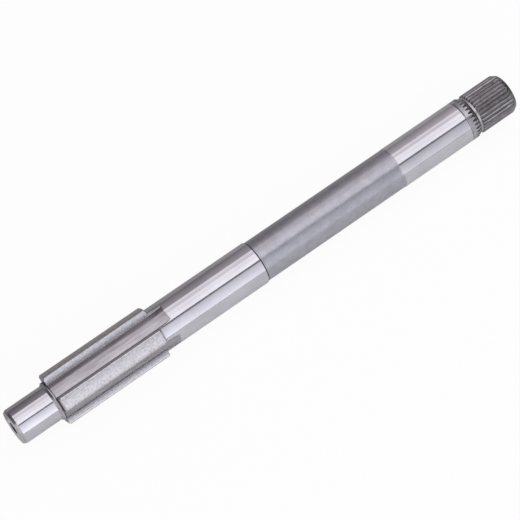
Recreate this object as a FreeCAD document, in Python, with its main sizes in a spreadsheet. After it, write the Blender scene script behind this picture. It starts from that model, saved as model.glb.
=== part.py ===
import FreeCAD, Part
import math
import os
import Sketcher
from FreeCAD import Placement, Rotation, Vector

# Kick start shaft: a turned and ground steel shaft in one piece, with four
# straight spline teeth near its plain end and fine serrations at the lever end.
# X is the shaft's axis and runs from the plain end to the serrated end. The
# origin lies on the axis where the end journal meets its shoulder. +Z is up as
# the shaft lies at rest, on two neighbouring spline teeth and on its lever end.

doc = FreeCAD.newDocument("kick_start_shaft")

# Driving dimensions, in millimetres, degrees and counts
driving_sizes = (
    ("end_journal_diameter", 14.0, "plain end, turns in the crankcase"),
    ("end_journal_length", 15.8, "end face to shoulder"),
    ("end_chamfer_length", 0.95, "chamfer of the plain end, along the axis"),
    ("end_chamfer_depth", 0.55, "chamfer of the plain end, off the radius"),
    ("shoulder_cone_length", 0.8, "cone up from the end journal"),
    ("shoulder_collar_length", 0.35, "narrow land beside the teeth"),
    ("tooth_relief_diameter", 15.0, "thin turned groove at the ends of the teeth"),
    ("tooth_relief_width", 0.4, "along the axis"),
    ("spline_outer_diameter", 20.5, "over the tips of the teeth"),
    ("spline_root_diameter", 15.6, "floors between the teeth, and the collar"),
    ("spline_length", 43.7, "teeth over both chamfers"),
    ("spline_teeth", 4, "count"),
    ("tooth_width", 5.6, "between parallel flanks"),
    ("tooth_chamfer", 0.5, "both ends of the teeth, 45 degrees"),
    ("spline_cutter_radius", 25.0, "disc cutter that leaves the run-outs"),
    ("spline_cutter_entry", 0.2, "starts this far before the teeth, in the relief"),
    ("gear_seat_diameter", 17.0, "ground seat of the gear"),
    ("gear_seat_length", 44.6, "ends of the teeth to step"),
    ("gear_seat_chamfer", 0.25, "edge at the step, 45 degrees"),
    ("middle_diameter", 16.2, "blasted middle"),
    ("middle_length", 62.2, "step to lead-in"),
    ("case_journal_lead_in", 0.65, "cone up to the journal, along the axis"),
    ("case_journal_diameter", 16.4, "ground journal in the cover"),
    ("case_journal_length", 30.9, "lead-in to scribed groove"),
    ("scribed_groove_half_width", 0.25, "groove where grinding ends"),
    ("scribed_groove_depth", 0.2, "off the radius"),
    ("notched_collar_length", 2.65, "scribed groove to vee groove"),
    ("vee_groove_diameter", 14.8, "bottom of the vee groove"),
    ("vee_collar_side", 1.45, "side up to the collar, along the axis"),
    ("vee_ring_diameter", 15.05, "plain ring before the serrations, at its top"),
    ("vee_ring_length", 0.85, "bottom of the vee to the lead-in"),
    ("serration_outer_diameter", 16.0, "over the crests"),
    ("serration_root_diameter", 15.15, "over the floors"),
    ("serration_lead_in", 0.5, "chamfer that the serrations start on"),
    ("serration_length", 13.65, "lead-in to the end's chamfer"),
    ("serration_count", 31, "count"),
    ("serration_angle", 90.0, "between the two sides of a groove"),
    ("serration_floor_width", 0.2, "flat at the bottom of a groove"),
    ("serration_turn", 7.5, "first groove's angle from +Z"),
    ("serration_cutter_radius", 8.0, "leaves the notches in the collar"),
    ("serration_cutter_stop", 0.3, "cutter's centre stops short of the vee's bottom"),
    ("lever_chamfer_length", 1.7, "chamfer of the serrated end, along the axis"),
    ("lever_chamfer_depth", 1.0, "chamfer of the serrated end, off the radius"),
    ("centre_mouth_diameter", 4.7, "centre holes, one in each end"),
    ("centre_angle", 60.0, "of the countersink"),
    ("centre_pilot_diameter", 2.0, "drilled below the countersink"),
    ("centre_pilot_depth", 2.0, "countersink to the pilot's point"),
    ("centre_point_angle", 118.0, "of the pilot's point"),
    ("cutter_clearance", 1.5, "cutters reach this far outside the metal"),
)

sheet = doc.addObject("Spreadsheet::Sheet", "sizes")
for row, (alias, value, note) in enumerate(driving_sizes, start=1):
    sheet.set("A%d" % row, alias)
    sheet.set("B%d" % row, str(value))
    sheet.set("C%d" % row, note)
    sheet.setAlias("B%d" % row, alias)
doc.recompute()


def size(alias):
    return float(sheet.get(alias))


def total(terms):
    """Sum of named sizes. A leading minus subtracts one."""
    return sum(-size(term[1:]) if term[0] == "-" else size(term) for term in terms)


def formula(terms):
    """The same sum as an expression on the sheet."""
    signed = ["- sizes." + term[1:] if term[0] == "-" else "+ sizes." + term for term in terms]
    return " ".join(signed).removeprefix("+ ")


body = doc.addObject("PartDesign::Body", "kick_start_shaft")
body.Label = "kick_start_shaft"


def origin_feature(role):
    return next(item for item in body.Origin.OriginFeatures if item.Role == role)


def new_sketch(name, plane):
    sketch = body.newObject("Sketcher::SketchObject", name)
    sketch.AttachmentSupport = [(origin_feature(plane), "")]
    sketch.MapMode = "FlatFace"
    return sketch


def hold(sketch, expression, kind, *arguments):
    """Adds a constraint, with its size from the sheet where an expression is given."""
    index = sketch.addConstraint(Sketcher.Constraint(kind, *arguments))
    if expression:
        sketch.setExpression("Constraints[%d]" % index, expression)


def draw_chain(sketch, points):
    """Draws a closed chain of lines. Line n runs from point n to the next point."""
    lines = [
        sketch.addGeometry(Part.LineSegment(start, end), False)
        for start, end in zip(points, points[1:] + points[:1])
    ]
    for line, following in zip(lines, lines[1:] + lines[:1]):
        hold(sketch, None, "Coincident", line, 2, following, 1)
    return lines


def put_on_axis(sketch, line, end):
    """Keeps a line's end on the sketch's horizontal axis, which is the shaft's."""
    hold(sketch, None, "PointOnObject", line, end, -1)


# A sketch's origin, as its constraints name it
SKETCH_ORIGIN = (-1, 1)

# Stations along the axis, as sums of sizes from the shoulder
tooth_relief_station = ("shoulder_cone_length", "shoulder_collar_length", "tooth_relief_width")
spline_cutter_station = tooth_relief_station + ("spline_length", "-tooth_chamfer")
vee_bottom_station = tooth_relief_station + (
    "spline_length",
    "gear_seat_length",
    "middle_length",
    "case_journal_lead_in",
    "case_journal_length",
    "scribed_groove_half_width",
    "scribed_groove_half_width",
    "notched_collar_length",
    "vee_collar_side",
)
serration_cutter_station = vee_bottom_station + ("serration_cutter_stop",)
vee_bottom_to_end = ("vee_ring_length", "serration_lead_in", "serration_length", "lever_chamfer_length")
lever_end_station = vee_bottom_station + vee_bottom_to_end

# Turned outline from the plain end to the serrated end. Each corner gives the
# run along the axis from the corner before it, the diameter there, and what is
# cut off the radius.
turned_corners = (
    ((), "end_journal_diameter", "end_chamfer_depth"),
    (("end_chamfer_length",), "end_journal_diameter", None),
    (("end_journal_length", "-end_chamfer_length"), "end_journal_diameter", None),
    (("shoulder_cone_length",), "spline_root_diameter", None),
    (("shoulder_collar_length",), "spline_root_diameter", None),
    ((), "tooth_relief_diameter", None),
    (("tooth_relief_width",), "tooth_relief_diameter", None),
    ((), "spline_outer_diameter", "tooth_chamfer"),
    (("tooth_chamfer",), "spline_outer_diameter", None),
    (("spline_length", "-tooth_chamfer", "-tooth_chamfer"), "spline_outer_diameter", None),
    (("tooth_chamfer",), "spline_outer_diameter", "tooth_chamfer"),
    ((), "gear_seat_diameter", None),
    (("gear_seat_length", "-gear_seat_chamfer"), "gear_seat_diameter", None),
    (("gear_seat_chamfer",), "gear_seat_diameter", "gear_seat_chamfer"),
    ((), "middle_diameter", None),
    (("middle_length",), "middle_diameter", None),
    (("case_journal_lead_in",), "case_journal_diameter", None),
    (("case_journal_length",), "case_journal_diameter", None),
    (("scribed_groove_half_width",), "case_journal_diameter", "scribed_groove_depth"),
    (("scribed_groove_half_width",), "case_journal_diameter", None),
    (("notched_collar_length",), "case_journal_diameter", None),
    (("vee_collar_side",), "vee_groove_diameter", None),
    (("vee_ring_length",), "vee_ring_diameter", None),
    (("serration_lead_in",), "serration_outer_diameter", None),
    (("serration_length",), "serration_outer_diameter", None),
    (("lever_chamfer_length",), "serration_outer_diameter", "lever_chamfer_depth"),
)


def corner_radius(diameter, cut):
    return size(diameter) / 2 - (size(cut) if cut else 0)


def corner_radius_formula(diameter, cut):
    return "sizes.%s / 2" % diameter + (" - sizes.%s" % cut if cut else "")


# Turned blank
turned_sketch = new_sketch("turned_outline", "XZ_Plane")
corner_points = []
x = -size("end_journal_length")
for run, diameter, cut in turned_corners:
    x += total(run)
    corner_points.append(Vector(x, corner_radius(diameter, cut), 0))
plain_end_point = Vector(corner_points[0].x, 0, 0)
lever_end_point = Vector(corner_points[-1].x, 0, 0)
turned_lines = draw_chain(turned_sketch, [plain_end_point] + corner_points + [lever_end_point])

put_on_axis(turned_sketch, turned_lines[0], 1)
hold(
    turned_sketch,
    "sizes.end_journal_length",
    "DistanceX",
    turned_lines[0],
    1,
    *SKETCH_ORIGIN,
    size("end_journal_length"),
)
before = None
for line, (run, diameter, cut) in zip(turned_lines, turned_corners):
    if run:
        hold(turned_sketch, formula(run), "DistanceX", line, 1, line, 2, total(run))
    else:
        hold(turned_sketch, None, "Vertical", line)
    if (diameter, cut) == before:
        hold(turned_sketch, None, "Horizontal", line)
    else:
        hold(
            turned_sketch,
            corner_radius_formula(diameter, cut),
            "DistanceY",
            *SKETCH_ORIGIN,
            line,
            2,
            corner_radius(diameter, cut),
        )
    before = (diameter, cut)
hold(turned_sketch, None, "Vertical", turned_lines[-2])
put_on_axis(turned_sketch, turned_lines[-2], 2)

blank = body.newObject("PartDesign::Revolution", "turned_blank")
blank.Profile = turned_sketch
blank.ReferenceAxis = (turned_sketch, ["H_Axis"])
blank.Angle = 360.0
doc.recompute()

# Centre holes, one in each end face: a countersink and a drilled pilot
hole_sketch = new_sketch("centre_hole_outlines", "XZ_Plane")
mouth_radius = size("centre_mouth_diameter") / 2
pilot_radius = size("centre_pilot_diameter") / 2
sink_depth = (mouth_radius - pilot_radius) / math.tan(math.radians(size("centre_angle") / 2))
point_depth = pilot_radius / math.tan(math.radians(size("centre_point_angle") / 2))
MOUTH_RADIUS_FORMULA = "sizes.centre_mouth_diameter / 2"
PILOT_RADIUS_FORMULA = "sizes.centre_pilot_diameter / 2"
SINK_DEPTH_FORMULA = "(%s - %s) / tan(sizes.centre_angle / 2)" % (MOUTH_RADIUS_FORMULA, PILOT_RADIUS_FORMULA)
POINT_DEPTH_FORMULA = "%s / tan(sizes.centre_point_angle / 2)" % PILOT_RADIUS_FORMULA


def draw_centre_hole(face_x, face_terms, inward):
    """One hole's half outline, from its end face inward (+1 along X, or -1)."""
    depths = (0, 0, sink_depth, sink_depth + size("centre_pilot_depth"))
    heights = (0, mouth_radius, pilot_radius, pilot_radius)
    points = [Vector(face_x + inward * depth, height, 0) for depth, height in zip(depths, heights)]
    points.append(Vector(face_x + inward * (depths[-1] + point_depth), 0, 0))
    face, sink, pilot, tip, axis = draw_chain(hole_sketch, points)

    def hold_run(expression, value, start, end):
        ends = start + end if inward > 0 else end + start
        hold(hole_sketch, expression, "DistanceX", *ends, value)

    hold_run(formula(face_terms), abs(face_x), (face, 1), SKETCH_ORIGIN)
    hold_run(SINK_DEPTH_FORMULA, sink_depth, (sink, 1), (sink, 2))
    hold_run("sizes.centre_pilot_depth", size("centre_pilot_depth"), (pilot, 1), (pilot, 2))
    hold_run(POINT_DEPTH_FORMULA, point_depth, (tip, 1), (tip, 2))
    put_on_axis(hole_sketch, face, 1)
    put_on_axis(hole_sketch, tip, 2)
    hold(hole_sketch, None, "Vertical", face)
    hold(hole_sketch, None, "Horizontal", pilot)
    hold(hole_sketch, MOUTH_RADIUS_FORMULA, "DistanceY", face, 1, face, 2, mouth_radius)
    hold(hole_sketch, PILOT_RADIUS_FORMULA, "DistanceY", *SKETCH_ORIGIN, pilot, 2, pilot_radius)


draw_centre_hole(plain_end_point.x, ("end_journal_length",), 1)
draw_centre_hole(lever_end_point.x, lever_end_station, -1)

centre_holes = body.newObject("PartDesign::Groove", "centre_holes")
centre_holes.Profile = hole_sketch
centre_holes.ReferenceAxis = (hole_sketch, ["H_Axis"])
centre_holes.Angle = 360.0
doc.recompute()


def new_section_sketch(name, station, turn=None):
    """A sketch across the shaft at a station, turned about the axis where a size says so."""
    sketch = new_sketch(name, "YZ_Plane")
    angle = size(turn) if turn else 0
    sketch.AttachmentOffset = Placement(Vector(0, 0, total(station)), Rotation(Vector(0, 0, 1), angle))
    sketch.setExpression("AttachmentOffset.Base.z", formula(station))
    if turn:
        sketch.setExpression("AttachmentOffset.Rotation.Angle", "sizes.%s * 1 deg" % turn)
    return sketch


def centre_on_upright(sketch, line):
    """Keeps a line's ends level, as far left of the sketch's upright axis as right."""
    hold(sketch, None, "Symmetric", line, 1, line, 2, -2)


def draw_cutter_axis(sketch, root_alias, cutter_alias):
    """Construction line that a disc cutter turns about, above the groove's floor."""
    height = size(root_alias) / 2 + size(cutter_alias)
    reach = size("cutter_clearance")
    axis = sketch.addGeometry(Part.LineSegment(Vector(-reach, height, 0), Vector(reach, height, 0)), True)
    height_formula = "sizes.%s / 2 + sizes.%s" % (root_alias, cutter_alias)
    centre_on_upright(sketch, axis)
    hold(sketch, "sizes.cutter_clearance", "DistanceX", *SKETCH_ORIGIN, axis, 2, reach)
    hold(sketch, height_formula, "DistanceY", *SKETCH_ORIGIN, axis, 1, height)


def cut_and_run_out(name, sketch, towards_lever, length_terms):
    """Cuts the sketch along the shaft, and lets its disc cutter run out the other way."""
    cut = body.newObject("PartDesign::Pocket", name)
    cut.Profile = sketch
    cut.Reversed = towards_lever
    cut.setExpression("Length", formula(length_terms))
    run_out = body.newObject("PartDesign::Groove", name + "_run_out")
    run_out.Profile = sketch
    run_out.ReferenceAxis = (sketch, ["Axis0"])
    run_out.Angle = 360.0
    doc.recompute()
    return [cut, run_out]


def repeat_around(name, originals, count_alias):
    ring = body.newObject("PartDesign::PolarPattern", name)
    ring.Originals = originals
    ring.Axis = (origin_feature("X_Axis"), [""])
    ring.Angle = 360.0
    ring.setExpression("Occurrences", "sizes." + count_alias)
    body.Tip = ring
    doc.recompute()
    return ring


# Gap between two spline teeth: a floor concentric with the shaft, and two flanks
# parallel to the middle planes of the teeth beside it
gap_sketch = new_section_sketch("spline_gap_outline", spline_cutter_station)
draw_cutter_axis(gap_sketch, "spline_root_diameter", "spline_cutter_radius")

half_pitch = math.pi / size("spline_teeth")
half_tooth = size("tooth_width") / 2
root_radius = size("spline_root_diameter") / 2
reach_radius = size("spline_outer_diameter") / 2 + size("cutter_clearance")
along_tooth = Vector(math.sin(half_pitch), math.cos(half_pitch), 0)
across_tooth = Vector(-math.cos(half_pitch), math.sin(half_pitch), 0)


def flank_point(radius):
    return along_tooth * math.sqrt(radius**2 - half_tooth**2) + across_tooth * half_tooth


def mirrored(point):
    return Vector(-point.x, point.y, 0)


def draw_gap_arc(radius, radius_formula):
    """Arc about the shaft's axis, from the right flank over to the left one."""
    end = flank_point(radius)
    angle = math.atan2(end.y, end.x)
    circle = Part.Circle(Vector(0, 0, 0), Vector(0, 0, 1), radius)
    arc = gap_sketch.addGeometry(Part.ArcOfCircle(circle, angle, math.pi - angle), False)
    hold(gap_sketch, None, "Coincident", arc, 3, *SKETCH_ORIGIN)
    hold(gap_sketch, radius_formula, "Radius", arc, radius)
    return arc


floor = draw_gap_arc(root_radius, "sizes.spline_root_diameter / 2")
reach = draw_gap_arc(reach_radius, "sizes.spline_outer_diameter / 2 + sizes.cutter_clearance")
right_ends = (flank_point(root_radius), flank_point(reach_radius))
right_flank = gap_sketch.addGeometry(Part.LineSegment(*right_ends), False)
left_flank = gap_sketch.addGeometry(Part.LineSegment(*map(mirrored, right_ends)), False)
tooth_middle = gap_sketch.addGeometry(Part.LineSegment(Vector(0, 0, 0), along_tooth * reach_radius), True)
for arc, flank_end in ((floor, 1), (reach, 2)):
    hold(gap_sketch, None, "Coincident", arc, 1, right_flank, flank_end)
    hold(gap_sketch, None, "Coincident", arc, 2, left_flank, flank_end)
    hold(gap_sketch, None, "Horizontal", right_flank, flank_end, left_flank, flank_end)
hold(gap_sketch, None, "Coincident", tooth_middle, 1, *SKETCH_ORIGIN)
hold(gap_sketch, None, "PointOnObject", tooth_middle, 2, reach)
hold(
    gap_sketch,
    "(90 - 180 / sizes.spline_teeth) * 1 deg",
    "Angle",
    tooth_middle,
    math.pi / 2 - half_pitch,
)
hold(gap_sketch, None, "Parallel", right_flank, tooth_middle)
hold(gap_sketch, "sizes.tooth_width / 2", "Distance", right_flank, 1, tooth_middle, half_tooth)

gap_cuts = cut_and_run_out(
    "spline_gap", gap_sketch, False, ("spline_length", "-tooth_chamfer", "spline_cutter_entry")
)
spline = repeat_around("spline_gaps", gap_cuts, "spline_teeth")

# Serrations: vee grooves with a narrow flat floor
serration_sketch = new_section_sketch("serration_outline", serration_cutter_station, "serration_turn")
draw_cutter_axis(serration_sketch, "serration_root_diameter", "serration_cutter_radius")

floor_height = size("serration_root_diameter") / 2
mouth_height = size("serration_outer_diameter") / 2 + size("cutter_clearance")
floor_width = size("serration_floor_width")
slope = math.tan(math.radians(size("serration_angle") / 2))
mouth_width = floor_width + 2 * slope * (mouth_height - floor_height)
FLOOR_HEIGHT_FORMULA = "sizes.serration_root_diameter / 2"
MOUTH_HEIGHT_FORMULA = "sizes.serration_outer_diameter / 2 + sizes.cutter_clearance"
MOUTH_WIDTH_FORMULA = "sizes.serration_floor_width + 2 * tan(sizes.serration_angle / 2) * (%s - %s)" % (
    MOUTH_HEIGHT_FORMULA,
    FLOOR_HEIGHT_FORMULA,
)
groove_floor, _, groove_mouth, _ = draw_chain(
    serration_sketch,
    [
        Vector(-floor_width / 2, floor_height, 0),
        Vector(floor_width / 2, floor_height, 0),
        Vector(mouth_width / 2, mouth_height, 0),
        Vector(-mouth_width / 2, mouth_height, 0),
    ],
)
for line in (groove_floor, groove_mouth):
    centre_on_upright(serration_sketch, line)
hold(
    serration_sketch,
    "sizes.serration_floor_width",
    "DistanceX",
    groove_floor,
    1,
    groove_floor,
    2,
    floor_width,
)
hold(serration_sketch, MOUTH_WIDTH_FORMULA, "DistanceX", groove_mouth, 2, groove_mouth, 1, mouth_width)
hold(serration_sketch, FLOOR_HEIGHT_FORMULA, "DistanceY", *SKETCH_ORIGIN, groove_floor, 1, floor_height)
hold(serration_sketch, MOUTH_HEIGHT_FORMULA, "DistanceY", *SKETCH_ORIGIN, groove_mouth, 1, mouth_height)

serration_cuts = cut_and_run_out(
    "serration",
    serration_sketch,
    True,
    ("-serration_cutter_stop", "cutter_clearance") + vee_bottom_to_end,
)
serrations = repeat_around("serrations", serration_cuts, "serration_count")

# Every feature has to hold, and every cut has to take metal away
for item in doc.Objects:
    if "Invalid" in item.State or "Error" in item.State:
        raise RuntimeError("%s failed: %s" % (item.Name, item.State))
if body.Shape.isNull() or not body.Shape.isValid() or len(body.Shape.Solids) != 1:
    raise RuntimeError("the shaft is not one valid solid")
stages = [blank, centre_holes] + gap_cuts + [spline] + serration_cuts + [serrations]
for earlier, later in zip(stages, stages[1:]):
    if later.Shape.Volume >= earlier.Shape.Volume:
        raise RuntimeError("%s cuts nothing" % later.Name)

os.makedirs("parts", exist_ok=True)
body.Shape.exportStep("parts/kick_start_shaft.step")
print("volume %.0f mm3, faces %d" % (body.Shape.Volume, len(body.Shape.Faces)))
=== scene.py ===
import math
import bmesh
import bpy
import numpy as np
from mathutils import Matrix, Vector


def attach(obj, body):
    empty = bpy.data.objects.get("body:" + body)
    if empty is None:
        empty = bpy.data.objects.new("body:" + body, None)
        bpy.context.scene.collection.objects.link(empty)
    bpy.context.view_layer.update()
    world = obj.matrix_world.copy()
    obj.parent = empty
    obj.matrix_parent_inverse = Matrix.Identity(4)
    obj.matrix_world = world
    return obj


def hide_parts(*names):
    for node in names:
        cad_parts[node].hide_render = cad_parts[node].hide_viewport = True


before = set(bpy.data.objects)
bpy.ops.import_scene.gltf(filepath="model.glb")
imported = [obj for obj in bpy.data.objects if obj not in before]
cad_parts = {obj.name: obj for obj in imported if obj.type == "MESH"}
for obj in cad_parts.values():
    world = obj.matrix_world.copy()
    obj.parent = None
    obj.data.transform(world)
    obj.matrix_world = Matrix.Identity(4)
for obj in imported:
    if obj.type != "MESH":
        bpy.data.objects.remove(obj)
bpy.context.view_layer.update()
millimetre = 0.001

# Kick start shaft. X runs along it from the plain end to the serrated end, and
# x = 0 is the shoulder of the end journal. Sizes in millimetres and degrees.
shaft = {
    "endJournalRadius": 7.0,
    "endJournalLength": 15.8,
    "endChamfer": (0.95, 0.55),    # along the axis, off the radius
    "shoulderCone": 0.8,
    "shoulderCollar": 0.35,
    "reliefRadius": 7.5,
    "reliefWidth": 0.4,
    "tipRadius": 10.25,
    "rootRadius": 7.8,
    "splineLength": 43.7,
    "splineTeeth": 4,
    "toothWidth": 5.6,
    "toothChamfer": 0.5,
    "splineCutter": 25.0,          # radius of the disc that leaves the run-outs
    "seatRadius": 8.5,
    "seatLength": 44.6,
    "seatChamfer": 0.25,
    "stepShade": 0.3,              # painted shade line at the foot of the seat's step
    "middleRadius": 8.1,
    "middleLength": 62.2,
    "journalLeadIn": 0.65,
    "journalRadius": 8.2,
    "journalLength": 30.9,
    "scribedHalfWidth": 0.25,
    "scribedDepth": 0.2,
    "collarLength": 2.65,
    "veeSide": 1.45,
    "veeRadius": 7.4,
    "veeShade": 0.6,               # painted shade line up the collar's side of the vee
    "ringLength": 0.85,
    "ringRadius": 7.525,
    "serrationLeadIn": 0.5,
    "serrationLength": 13.65,
    "serrationRadius": 8.0,
    "serrationRoot": 7.575,
    "serrationCount": 31,
    "serrationSlope": 45.0,        # side of a groove, from its middle plane
    "serrationFloor": 0.2,
    "serrationTurn": 7.5,          # first groove's angle from +Z
    "serrationCutter": 8.0,
    "serrationStop": 0.3,
    "leverChamfer": (1.7, 1.0),
    "centreMouth": 2.35,
    "centreSlope": 30.0,
    "pilotRadius": 1.0,
    "pilotDepth": 2.0,
    "pointSlope": 59.0,
    "edgeRound": 0.09,             # broken edges of the teeth, crests and steps
}


def stationsOf(s):
    # places along the axis that several functions need
    teethStart = s["shoulderCone"] + s["shoulderCollar"] + s["reliefWidth"]
    teethEnd = teethStart + s["splineLength"]
    splineStop = teethEnd - s["toothChamfer"]
    seatEnd = teethEnd + s["seatLength"]
    scribed = seatEnd + s["middleLength"] + s["journalLeadIn"] + s["journalLength"]
    collarStart = scribed + 2 * s["scribedHalfWidth"]
    veeBottom = collarStart + s["collarLength"] + s["veeSide"]
    serrationStart = veeBottom + s["ringLength"] + s["serrationLeadIn"]
    return {
        "teethStart": teethStart,
        "teethEnd": teethEnd,
        "splineStop": splineStop,
        "seatEnd": seatEnd,
        "collarStart": collarStart,
        "veeBottom": veeBottom,
        "serrationStart": serrationStart,
        "serrationEnd": serrationStart + s["serrationLength"],
    }


def splineCutter(s, at):
    # the disc that mills a gap between two spline teeth, and where it leaves the metal
    half = math.pi / s["splineTeeth"]
    root = s["rootRadius"]
    floorHalf = half - math.asin(s["toothWidth"] / 2 / root)
    return {
        "count": s["splineTeeth"],
        "turn": 0.0,
        "half": half,
        "axis": root + s["splineCutter"],
        "stop": at["splineStop"],
        "side": 1,
        "corner": (root * math.sin(floorHalf), root * math.cos(floorHalf)),
        "floorCut": lambda y, z: np.hypot(y, z) >= root,
        "flankCut": lambda y, z: z * math.sin(half) - y * math.cos(half) >= s["toothWidth"] / 2,
    }


def serrationCutter(s, at):
    # the small disc that cuts a serration and nicks the collar
    slope = math.tan(math.radians(s["serrationSlope"]))
    root, floor = s["serrationRoot"], s["serrationFloor"] / 2
    return {
        "count": s["serrationCount"],
        "turn": math.radians(s["serrationTurn"]),
        "half": math.pi / s["serrationCount"],
        "axis": root + s["serrationCutter"],
        "stop": at["veeBottom"] + s["serrationStop"],
        "side": -1,
        "corner": (floor, root),
        "floorCut": lambda y, z: z >= root,
        "flankCut": lambda y, z: y <= floor + slope * (z - root),
    }


def lifted(cutter, x, z):
    # height of a section point where the disc has run past its stop
    run = max(cutter["side"] * (x - cutter["stop"]), 0)
    return cutter["axis"] - math.sqrt((cutter["axis"] - z) ** 2 - run ** 2)


def lowered(cutter, x, z):
    # the other way: from the run-out back to the section
    run = np.maximum(cutter["side"] * (x - cutter["stop"]), 0)
    return cutter["axis"] - np.sqrt((cutter["axis"] - z) ** 2 + run ** 2)


def runToRadius(cutter, angle, radius):
    # how far past its stop the disc's floor meets a radius, at an angle from the gap's middle
    y = np.minimum(radius * np.sin(angle), cutter["corner"][0])
    floor = math.hypot(*cutter["corner"])
    start, end = np.sqrt(floor ** 2 - y ** 2), np.sqrt(radius ** 2 - y ** 2)
    return np.sqrt((cutter["axis"] - start) ** 2 - (cutter["axis"] - end) ** 2)


# how finely the mesh follows the sizes above, in millimetres and degrees
meshDetail = {
    "halvings": 32,                # of a search for where a cut meets a ray
    "searchRadii": (5.0, 15.0),
    "spacingSlack": 1e-3,
    "longest": 1.4,                # spacings that a stretch may have with no ring in it
    "cornerTurn": 28.0,            # between the rings round a rounded corner
    "cornerShare": 0.4,            # most of a side that a corner's rounding takes
    "splineFillet": 0.12,          # in the corners between floor and flank
    "serrationFillet": 0.06,
    "runOutFillet": 0.03,          # where a cut meets the turned surface
    "bendReach": 1.8,              # rings bend to the run-outs' ends this far on each side
    "leastFlank": (0.8, 0.5),      # spline and serration
    "notchStart": 0.02,            # the columns take a notch's shape this far inside it
    "notchHeight": 0.08,           # and from this height of its flank
    "notchEase": 0.1,              # and have turned to it by this far before it
    "cutDepth": 0.01,              # a face this far under the turned surface counts as cut
    "stepFoot": 0.07,              # height over the step's foot where the columns change
    "joinStep": 0.3,               # on the map, between the two stretches
    "merge": 0.0006,
    "dissolve": 0.0004,
}
hair = 1e-6                        # places nearer than this count as one


def bisect(isBeyond, low, high):
    low, high = np.array(low, float), np.array(high, float)
    for _ in range(meshDetail["halvings"]):
        middle = (low + high) / 2
        beyond = isBeyond(middle)
        high = np.where(beyond, middle, high)
        low = np.where(beyond, low, middle)
    return (low + high) / 2


def cornerAngle(cutter, x):
    # where the corner between floor and flank lies
    y, z = cutter["corner"]
    return math.atan2(y, lifted(cutter, x, z))


def flankAngle(cutter, x, radius):
    # where a flank comes out at a radius
    def isMetal(angle):
        y, z = radius * np.sin(angle), radius * np.cos(angle)
        return ~cutter["flankCut"](y, lowered(cutter, x, z))

    return float(bisect(isMetal, 0.0, cutter["half"]))


def softMin(a, b, blend):
    # the smaller of two, rounded where they are near each other
    near = np.maximum(blend - np.abs(a - b), 0) / blend
    return np.minimum(a, b) - near * near * blend / 4


def cutRadius(cutter, x, angle, blend):
    # radius that the cutter leaves along each ray, with a small fillet at the corner
    lowest, highest = (np.full_like(angle, radius) for radius in meshDetail["searchRadii"])

    def reached(test):
        def isCut(r):
            return test(r * np.sin(angle), lowered(cutter, x, r * np.cos(angle)))

        return bisect(isCut, lowest, highest)

    return -softMin(-reached(cutter["floorCut"]), -reached(cutter["flankCut"]), blend)


def turnedCorners(s, at, cutter):
    # corners of the turned outline: x, radius, rounding and the finish that starts there
    corners = []
    x = -s["endJournalLength"]

    def corner(run, radius, rounding, finish):
        nonlocal x
        x += run
        corners.append((x, radius, rounding, finish))

    edge = s["edgeRound"]
    chamferLength, chamferDepth = s["endChamfer"]
    faceRadius = s["endJournalRadius"] - chamferDepth
    corner(0, faceRadius * centreHole["faceInner"], 0, "endFace")
    corner(0, faceRadius, edge, "turned")
    corner(chamferLength, s["endJournalRadius"], edge, "ground")
    corner(s["endJournalLength"] - chamferLength, s["endJournalRadius"], 2 * edge, "turned")
    corner(s["shoulderCone"], s["rootRadius"], edge, "turned")
    corner(s["shoulderCollar"], s["rootRadius"], edge / 2, "turned")
    corner(0, s["reliefRadius"], edge / 2, "turned")
    corner(s["reliefWidth"], s["reliefRadius"], edge / 2, "spline")
    corner(0, s["tipRadius"] - s["toothChamfer"], edge, "spline")
    corner(s["toothChamfer"], s["tipRadius"], edge, "spline")
    corner(s["splineLength"] - 2 * s["toothChamfer"], s["tipRadius"], edge, "toothEnd")
    corner(s["toothChamfer"], s["tipRadius"] - s["toothChamfer"], edge, "toothEnd")
    corner(0, s["seatRadius"], 0, "ground")
    runOut = float(runToRadius(cutter, 0.0, s["seatRadius"])) - s["toothChamfer"]
    corner(runOut, s["seatRadius"], 0, "ground")
    # painted shade: the seat's end chamfer, its step and a line past the step's foot get the dark
    # finish
    corner(s["seatLength"] - runOut - s["seatChamfer"], s["seatRadius"], edge, "crevice")
    corner(s["seatChamfer"], s["seatRadius"] - s["seatChamfer"], edge / 2, "crevice")
    corner(0, s["middleRadius"], edge / 2, "crevice")
    corner(s["stepShade"], s["middleRadius"], 0, "blasted")
    corner(s["middleLength"] - s["stepShade"], s["middleRadius"], edge, "turned")
    corner(s["journalLeadIn"], s["journalRadius"], edge, "ground")
    corner(s["journalLength"], s["journalRadius"], edge / 2, "turned")
    corner(s["scribedHalfWidth"], s["journalRadius"] - s["scribedDepth"], edge / 2, "turned")
    corner(s["scribedHalfWidth"], s["journalRadius"], edge / 2, "collar")
    corner(s["collarLength"], s["journalRadius"], edge, "collar")
    veeDepth = s["journalRadius"] - s["veeRadius"]
    shadeRadius = s["veeRadius"] + veeDepth * s["veeShade"] / s["veeSide"]
    # painted shade low on the collar's side of the vee
    corner(s["veeSide"] - s["veeShade"], shadeRadius, 0, "crevice")
    corner(s["veeShade"], s["veeRadius"], edge, "turned")
    corner(s["ringLength"], s["ringRadius"], edge, "serration")
    corner(s["serrationLeadIn"], s["serrationRadius"], edge, "serration")
    corner(s["serrationLength"], s["serrationRadius"], edge, "serration")
    chamferLength, chamferDepth = s["leverChamfer"]
    faceRadius = s["serrationRadius"] - chamferDepth
    corner(chamferLength, faceRadius, edge, "endFace")
    corner(0, faceRadius * centreHole["faceInner"], 0, "endFace")
    return corners


# spacing of the mesh's rings along the shaft: where it ends, how far past that, and the spacing
ringSpacing = (
    ("teethStart", 0.8, 0.12),
    ("splineStop", 0, 3.0),
    ("teethEnd", 6.5, 0.18),
    ("collarStart", 0, 3.4),
    ("serrationStart", 0.2, 0.13),
    ("serrationEnd", 0, 1.6),
)
lastSpacing = 0.14


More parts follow.
